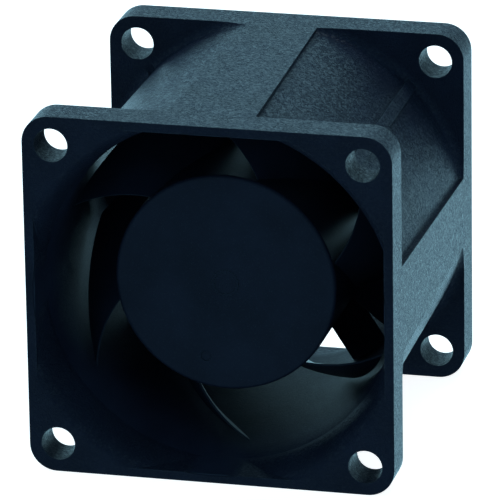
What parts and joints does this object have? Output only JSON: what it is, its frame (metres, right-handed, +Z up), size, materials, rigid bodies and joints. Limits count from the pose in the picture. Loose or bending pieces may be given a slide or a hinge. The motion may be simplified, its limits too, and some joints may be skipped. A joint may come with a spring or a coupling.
{
  "type": "axial cooling fan",
  "caption": "Square deep axial fan for rack servers: ducted impeller on a ball-bearing motor, rear guide vanes and flanged mounting holes at both faces",
  "frame": {"origin": "centre of the fan's overall box, on the axis of rotation", "axes": "The fan turns about Y. Air goes in at the front face, which looks along -Y. +Z is up and +X is to the right as seen from the front."},
  "size_m": [0.038, 0.038, 0.038],
  "materials": {
    "frame_plastic": "moulded PBT, fine spark-eroded grain",
    "impeller_plastic": "moulded PBT, satin",
    "label_film": "blank satin polyester film",
    "plated_steel": "zinc-plated pressed steel",
    "ferrite": "bonded ferrite, dark grey",
    "brass": "turned brass",
    "bearing_steel": "ground bearing steel",
    "spring_steel": "oiled spring steel",
    "washer_nylon": "natural nylon",
    "cage_nylon": "glass-filled nylon",
    "lamination": "stacked electrical steel",
    "insulator_nylon": "natural moulded nylon",
    "enamelled_wire": "enamelled copper wire",
    "board": "green solder mask",
    "tinned_pins": "tinned",
    "chip_epoxy": "black epoxy",
    "capacitor_can": "drawn aluminium can",
    "chip_resistor": "glazed ceramic"
  },
  "bodies": {
    "stator": {"housing": "frame_plastic", "rear_label": "label_film", "bearing_tube": "brass", "stator_core": "lamination", "front_insulator": "insulator_nylon", "rear_insulator": "insulator_nylon", "coil_1": "enamelled_wire", "coil_2": "enamelled_wire", "coil_3": "enamelled_wire", "coil_4": "enamelled_wire", "circuit_board": "board", "terminal_pins": "tinned_pins", "driver_chip": "chip_epoxy", "hall_sensor": "chip_epoxy", "capacitor_1": "capacitor_can", "capacitor_2": "capacitor_can", "resistor_1": "chip_resistor", "resistor_2": "chip_resistor", "resistor_3": "chip_resistor", "resistor_4": "chip_resistor", "front_bearing_outer_ring": "bearing_steel", "front_bearing_front_shield": "plated_steel", "front_bearing_rear_shield": "plated_steel", "rear_bearing_outer_ring": "bearing_steel", "rear_bearing_front_shield": "plated_steel", "rear_bearing_rear_shield": "plated_steel"},
    "rotor": {"impeller": "impeller_plastic", "rotor_yoke": "plated_steel", "magnet_ring": "ferrite", "shaft_insert": "brass", "shaft": "bearing_steel", "thrust_washer": "washer_nylon", "retaining_clip": "spring_steel", "preload_spring": "spring_steel", "front_bearing_inner_ring": "bearing_steel", "rear_bearing_inner_ring": "bearing_steel"},
    "front_cage": {"front_bearing_cage": "cage_nylon", "front_bearing_balls": "bearing_steel"},
    "rear_cage": {"rear_bearing_cage": "cage_nylon", "rear_bearing_balls": "bearing_steel"}
  },
  "joints": [
    {"name": "rotor_spin", "type": "hinge", "parent": "stator", "child": "rotor", "pos_m": [0, 0, 0], "axis": [0, -1, 0], "continuous": true},
    {"name": "front_cage_spin", "type": "hinge", "parent": "stator", "child": "front_cage", "pos_m": [0, 0, 0], "axis": [0, -1, 0], "continuous": true},
    {"name": "rear_cage_spin", "type": "hinge", "parent": "stator", "child": "rear_cage", "pos_m": [0, 0, 0], "axis": [0, -1, 0], "continuous": true}
  ],
  "couplings": [
    {"joint": "front_cage_spin", "follows": "rotor_spin", "ratio": 0.3889},
    {"joint": "rear_cage_spin", "follows": "rotor_spin", "ratio": 0.3889}
  ]
}
